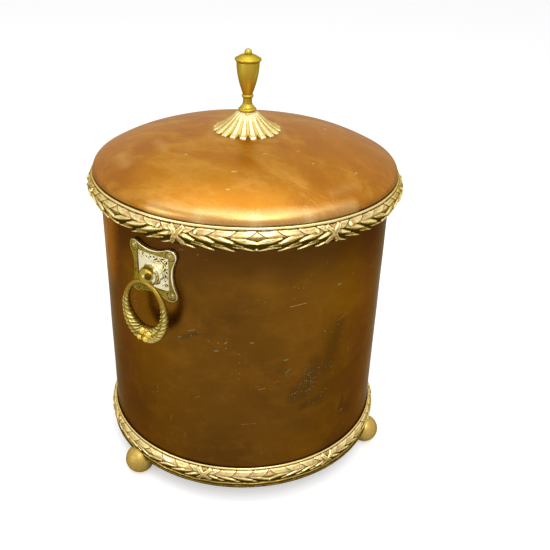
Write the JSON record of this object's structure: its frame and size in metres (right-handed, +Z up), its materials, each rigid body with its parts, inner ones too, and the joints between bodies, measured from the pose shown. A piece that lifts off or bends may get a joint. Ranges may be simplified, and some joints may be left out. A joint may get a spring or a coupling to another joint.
{
  "type": "coal scuttle",
  "caption": "Round lidded coal scuttle: copper drum and domed lid with brass laurel garlands, ring handles, urn finial, ball feet and an inner liner.",
  "frame": {"origin": "on the floor under the drum's axis, at the centre of the base of the bounding box", "axes": "+Z up along the drum's axis through the finial; the two ring handles lie on -X and +X"},
  "size_m": [0.34, 0.32, 0.4338],
  "materials": {
    "drum_copper": "aged brown copper sheet with scuffs and verdigris specks",
    "lid_copper": "worn orange copper sheet",
    "tinned_copper": "plain inner copper sheet, dulled",
    "garland_brass": "cast brass leaves, bright edges and dark recesses",
    "rosette_brass": "cast brass leaves, rubbed bright",
    "plate_brass": "cast brass, olive frame and bright chased field",
    "ring_brass": "cast brass laurel wreath, darkened recesses",
    "knob_brass": "turned brass",
    "urn_brass": "turned brass, satin",
    "foot_brass": "cast brass balls, worn satin",
    "rivet_brass": "small rivet heads",
    "dull_brass": "unpolished brass",
    "fixing_brass": "plain screws, nuts and washers",
    "liner_zinc": "galvanised sheet"
  },
  "bodies": {
    "drum": {"drum_shell": "drum_copper", "base_ring": "dull_brass", "base_plate": "tinned_copper", "base_garland": "garland_brass", "left_foot": "foot_brass", "front_foot": "foot_brass", "rear_foot": "foot_brass", "foot_screws": "fixing_brass", "liner": "liner_zinc", "left_handle_plate": "plate_brass", "right_handle_plate": "plate_brass", "left_plate_rivets": "rivet_brass", "right_plate_rivets": "rivet_brass", "left_knob": "knob_brass", "right_knob": "knob_brass", "left_knob_washer": "fixing_brass", "right_knob_washer": "fixing_brass", "left_knob_nut": "fixing_brass", "right_knob_nut": "fixing_brass"},
    "left_ring": {"left_ring": "ring_brass"},
    "right_ring": {"right_ring": "ring_brass"},
    "lid": {"lid_dome": "lid_copper", "lid_garland": "garland_brass", "lid_seat_ring": "tinned_copper", "finial_rosette": "rosette_brass", "finial_collar": "urn_brass", "finial_urn": "urn_brass", "finial_cap": "urn_brass", "finial_stud": "fixing_brass", "finial_washer": "fixing_brass", "finial_nut": "fixing_brass"}
  },
  "joints": [
    {"name": "lid_lift", "type": "slide", "parent": "drum", "child": "lid", "axis": [0, 0, 1], "range_m": [0, 0.15]},
    {"name": "left_ring_swing", "type": "hinge", "parent": "drum", "child": "left_ring", "pos_m": [-0.162, 0, 0.254], "axis": [0, 1, 0], "range_deg": [-7, 160]},
    {"name": "right_ring_swing", "type": "hinge", "parent": "drum", "child": "right_ring", "pos_m": [0.162, 0, 0.254], "axis": [0, -1, 0], "range_deg": [-7, 160]}
  ]
}
